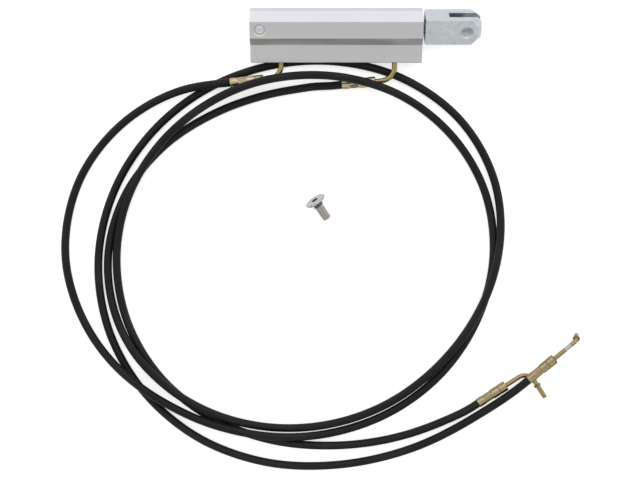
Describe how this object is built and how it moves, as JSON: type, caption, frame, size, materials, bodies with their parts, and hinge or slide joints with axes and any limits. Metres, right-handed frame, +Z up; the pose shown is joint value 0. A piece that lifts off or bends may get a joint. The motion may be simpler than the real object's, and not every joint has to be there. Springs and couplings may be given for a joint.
{
  "type": "small hydraulic cylinder with hoses",
  "caption": "Slim double-acting hydraulic cylinder with a forked rod end, a side rail with angled port tubes, long thin hoses lying in a coil, and its loose shoulder screw.",
  "frame": {"origin": "on the floor, under the middle of the box round the cylinder, its port ferrules and its loose screw", "axes": "+X along the rod towards its fork, +Y from the hoses' coil towards the cylinder, +Z up from the floor"},
  "size_m": [0.4085, 0.3632, 0.0296],
  "materials": {
    "extrusion": "satin anodised extrusion with fine lines along it",
    "machined_aluminium": "turned",
    "zinc_plate": "zinc plated, slightly mottled, with a bluish cast",
    "chromate": "yellow chromate with pink and green tints",
    "stainless": "turned, slightly dull",
    "rod_chrome": "ground and polished",
    "spring_steel": "dark, oiled",
    "gland_bronze": "turned",
    "hose_rubber": "smooth black sheath with a soft sheen",
    "seal_rubber": "matt black",
    "seal_polyurethane": "smooth"
  },
  "bodies": {
    "barrel": {"barrel": "extrusion", "rear_cap": "machined_aluminium", "rear_cap_oring": "seal_rubber", "cap_lock_plug": "machined_aluminium", "rod_gland": "gland_bronze", "gland_oring": "seal_rubber", "gland_retaining_ring": "spring_steel", "rod_seal": "seal_polyurethane", "rod_wiper": "seal_rubber", "rear_port_tube": "chromate", "rear_port_oring": "seal_rubber", "rear_port_sleeve": "zinc_plate", "rear_ferrule": "chromate", "rear_hose_root": "hose_rubber", "front_port_tube": "chromate", "front_port_oring": "seal_rubber", "front_port_sleeve": "zinc_plate", "front_ferrule": "chromate", "front_hose_root": "hose_rubber", "rear_hose": "hose_rubber", "rear_hose_tip": "hose_rubber", "rear_end_ferrule": "chromate", "rear_end_tube": "chromate", "front_hose": "hose_rubber", "front_hose_tip": "hose_rubber", "front_end_ferrule": "chromate", "front_end_tube": "chromate", "pivot_screw": "stainless"},
    "seal_pack": {"piston_seal": "seal_polyurethane", "piston_guide_ring": "seal_rubber"},
    "rod": {"piston_rod": "rod_chrome", "piston": "machined_aluminium", "piston_nut": "zinc_plate", "clevis": "zinc_plate"}
  },
  "joints": [
    {"name": "rod_slide", "type": "slide", "parent": "barrel", "child": "seal_pack", "axis": [1, 0, 0], "range_m": [0, 0.07]},
    {"name": "rod_spin", "type": "hinge", "parent": "seal_pack", "child": "rod", "pos_m": [0, 0.068, 0.01479], "axis": [1, 0, 0], "continuous": true}
  ]
}
